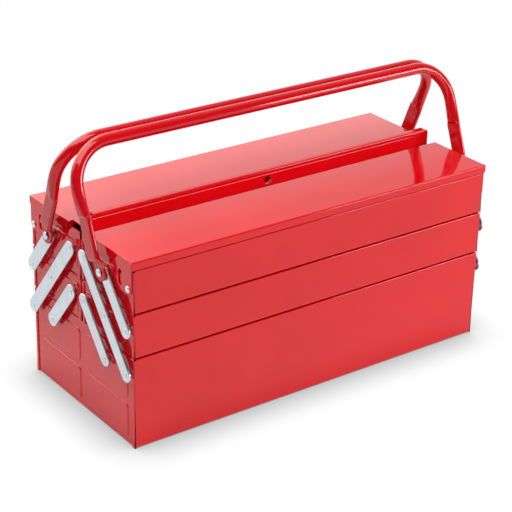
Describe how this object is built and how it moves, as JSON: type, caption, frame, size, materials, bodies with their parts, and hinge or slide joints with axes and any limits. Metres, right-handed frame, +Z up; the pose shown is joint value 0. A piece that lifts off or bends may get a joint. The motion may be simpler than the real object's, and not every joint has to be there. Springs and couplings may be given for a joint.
{
  "type": "cantilever tool box",
  "caption": "Long sheet-steel tool box whose stacked trays swing out on flat links over a deep base, under hinged lids that meet at a hasp ridge between tubular handles.",
  "frame": {"origin": "middle of the base's underside, on the surface that the box stands on", "axes": "+X along the box towards its right end, +Y towards the back lid, +Z up"},
  "size_m": [0.49, 0.1964, 0.2988],
  "materials": {
    "red_enamel": "gloss",
    "zinc_plate": "bright zinc plate"
  },
  "bodies": {
    "base": {"base_shell": "red_enamel", "base_left_end": "red_enamel", "base_right_end": "red_enamel", "base_pivot_rivets": "zinc_plate"},
    "front_long_arms": {"front_left_long_arm": "zinc_plate", "front_right_long_arm": "zinc_plate"},
    "front_short_arms": {"front_left_short_arm": "zinc_plate", "front_right_short_arm": "zinc_plate"},
    "front_middle_tray": {"front_middle_tray": "red_enamel", "front_middle_left_end": "red_enamel", "front_middle_right_end": "red_enamel", "front_middle_rivets": "zinc_plate"},
    "front_upper_links": {"front_left_upper_link": "zinc_plate", "front_right_upper_link": "zinc_plate"},
    "front_top_tray": {"front_top_tray": "red_enamel", "front_top_left_end": "red_enamel", "front_top_right_end": "red_enamel", "front_top_rivets": "zinc_plate"},
    "front_lid": {"front_lid": "red_enamel", "front_lid_hasp_plate": "red_enamel"},
    "front_handle": {"front_handle": "red_enamel"},
    "back_long_arms": {"back_left_long_arm": "zinc_plate", "back_right_long_arm": "zinc_plate"},
    "back_short_arms": {"back_left_short_arm": "zinc_plate", "back_right_short_arm": "zinc_plate"},
    "back_middle_tray": {"back_middle_tray": "red_enamel", "back_middle_left_end": "red_enamel", "back_middle_right_end": "red_enamel", "back_middle_rivets": "zinc_plate"},
    "back_upper_links": {"back_left_upper_link": "zinc_plate", "back_right_upper_link": "zinc_plate"},
    "back_top_tray": {"back_top_tray": "red_enamel", "back_top_left_end": "red_enamel", "back_top_right_end": "red_enamel", "back_top_rivets": "zinc_plate"},
    "back_lid": {"back_lid": "red_enamel", "back_lid_channel": "red_enamel"},
    "back_handle": {"back_handle": "red_enamel"}
  },
  "joints": [
    {"name": "front_spread", "type": "hinge", "parent": "base", "child": "front_long_arms", "pos_m": [0, -0.0905, 0.082], "axis": [1, 0, 0], "range_deg": [0, 78]},
    {"name": "front_short_arm_turn", "type": "hinge", "parent": "base", "child": "front_short_arms", "pos_m": [0, -0.0515, 0.082], "axis": [1, 0, 0], "range_deg": [0, 78]},
    {"name": "front_middle_tray_level", "type": "hinge", "parent": "front_long_arms", "child": "front_middle_tray", "pos_m": [0, -0.0515, 0.13], "axis": [1, 0, 0], "range_deg": [-78, 0]},
    {"name": "front_top_tray_level", "type": "hinge", "parent": "front_long_arms", "child": "front_top_tray", "pos_m": [0, -0.0125, 0.178], "axis": [1, 0, 0], "range_deg": [-78, 0]},
    {"name": "front_upper_link_turn", "type": "hinge", "parent": "front_middle_tray", "child": "front_upper_links", "pos_m": [0, -0.0905, 0.13], "axis": [1, 0, 0], "range_deg": [0, 78]},
    {"name": "front_lid_open", "type": "hinge", "parent": "front_top_tray", "child": "front_lid", "pos_m": [0, -0.0905, 0.174], "axis": [1, 0, 0], "range_deg": [0, 100]},
    {"name": "front_handle_swing", "type": "hinge", "parent": "front_top_tray", "child": "front_handle", "pos_m": [0, -0.0515, 0.178], "axis": [1, 0, 0], "range_deg": [0, 95]},
    {"name": "back_spread", "type": "hinge", "parent": "base", "child": "back_long_arms", "pos_m": [0, 0.0905, 0.082], "axis": [-1, 0, 0], "range_deg": [0, 78]},
    {"name": "back_short_arm_turn", "type": "hinge", "parent": "base", "child": "back_short_arms", "pos_m": [0, 0.0515, 0.082], "axis": [-1, 0, 0], "range_deg": [0, 78]},
    {"name": "back_middle_tray_level", "type": "hinge", "parent": "back_long_arms", "child": "back_middle_tray", "pos_m": [0, 0.0515, 0.13], "axis": [-1, 0, 0], "range_deg": [-78, 0]},
    {"name": "back_top_tray_level", "type": "hinge", "parent": "back_long_arms", "child": "back_top_tray", "pos_m": [0, 0.0125, 0.178], "axis": [-1, 0, 0], "range_deg": [-78, 0]},
    {"name": "back_upper_link_turn", "type": "hinge", "parent": "back_middle_tray", "child": "back_upper_links", "pos_m": [0, 0.0905, 0.13], "axis": [-1, 0, 0], "range_deg": [0, 78]},
    {"name": "back_lid_open", "type": "hinge", "parent": "back_top_tray", "child": "back_lid", "pos_m": [0, 0.0905, 0.174], "axis": [-1, 0, 0], "range_deg": [0, 100]},
    {"name": "back_handle_swing", "type": "hinge", "parent": "back_top_tray", "child": "back_handle", "pos_m": [0, 0.0515, 0.178], "axis": [-1, 0, 0], "range_deg": [0, 95]}
  ],
  "couplings": [
    {"joint": "front_short_arm_turn", "follows": "front_spread", "ratio": 1},
    {"joint": "front_middle_tray_level", "follows": "front_spread", "ratio": -1},
    {"joint": "front_top_tray_level", "follows": "front_spread", "ratio": -1},
    {"joint": "front_upper_link_turn", "follows": "front_spread", "ratio": 1},
    {"joint": "back_short_arm_turn", "follows": "back_spread", "ratio": 1},
    {"joint": "back_middle_tray_level", "follows": "back_spread", "ratio": -1},
    {"joint": "back_top_tray_level", "follows": "back_spread", "ratio": -1},
    {"joint": "back_upper_link_turn", "follows": "back_spread", "ratio": 1}
  ]
}
